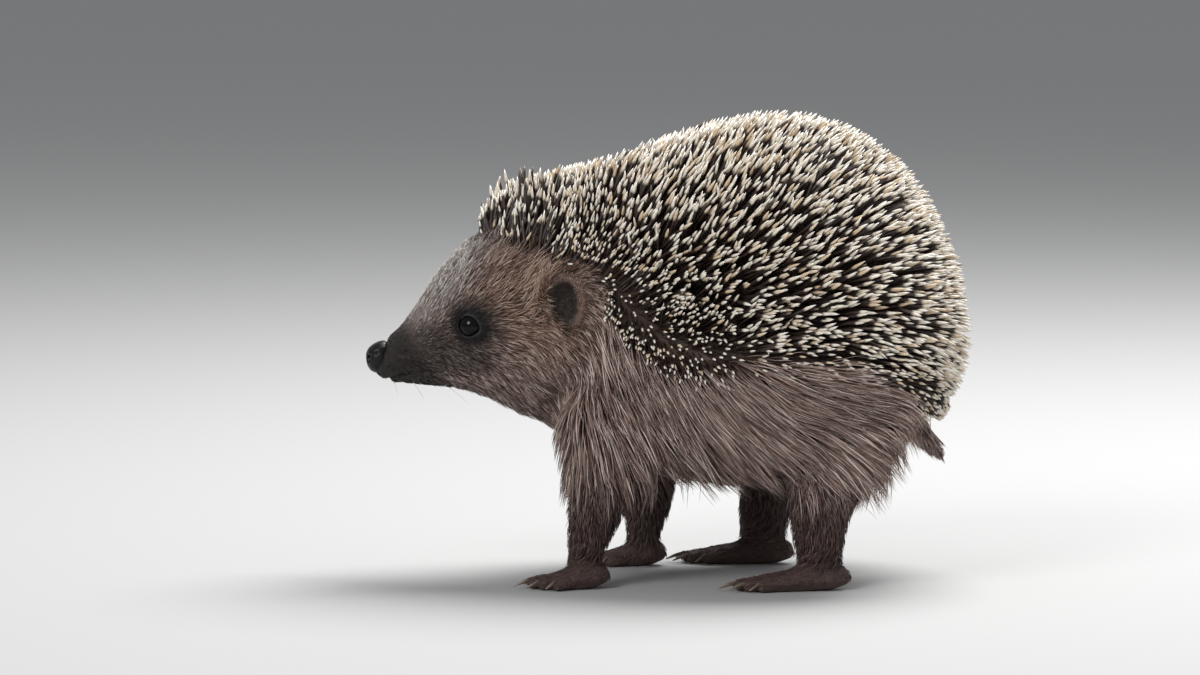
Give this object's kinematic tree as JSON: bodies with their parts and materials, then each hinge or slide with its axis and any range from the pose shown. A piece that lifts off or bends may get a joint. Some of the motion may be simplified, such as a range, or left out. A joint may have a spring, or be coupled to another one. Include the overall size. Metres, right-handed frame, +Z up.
{
  "type": "hedgehog",
  "caption": "Life-size still hedgehog in mid walk, head held level, with a spiny back, furred flanks and clawed feet that stand on the floor.",
  "frame": {"origin": "on the floor, under the middle of the whole animal", "axes": "nose towards -X, the animal's left side towards -Y, +Z up"},
  "size_m": [0.19, 0.1146, 0.1466],
  "materials": {
    "spines": "satin",
    "fur": "matte",
    "skin": "matte",
    "nose": "glossy",
    "eye": "glossy",
    "claw": "satin"
  },
  "bodies": {
    "root": {"mantle": "spines", "trunk": "fur", "neck": "fur", "head": "fur", "muzzle": "fur", "jaw": "fur", "nose": "nose", "ear_left": "skin", "ear_right": "skin", "eye_left": "eye", "eye_right": "eye", "tail": "fur", "foreleg_left": "fur", "foreleg_right": "fur", "hindleg_left": "fur", "hindleg_right": "fur", "forefoot_left": "skin", "forefoot_right": "skin", "hindfoot_left": "skin", "hindfoot_right": "skin", "foreclaw_left_1": "claw", "foreclaw_left_2": "claw", "foreclaw_left_3": "claw", "foreclaw_left_4": "claw", "foreclaw_left_5": "claw", "foreclaw_right_1": "claw", "foreclaw_right_2": "claw", "foreclaw_right_3": "claw", "foreclaw_right_4": "claw", "foreclaw_right_5": "claw", "hindclaw_left_1": "claw", "hindclaw_left_2": "claw", "hindclaw_left_3": "claw", "hindclaw_left_4": "claw", "hindclaw_left_5": "claw", "hindclaw_right_1": "claw", "hindclaw_right_2": "claw", "hindclaw_right_3": "claw", "hindclaw_right_4": "claw", "hindclaw_right_5": "claw"}
  },
  "joints": []
}
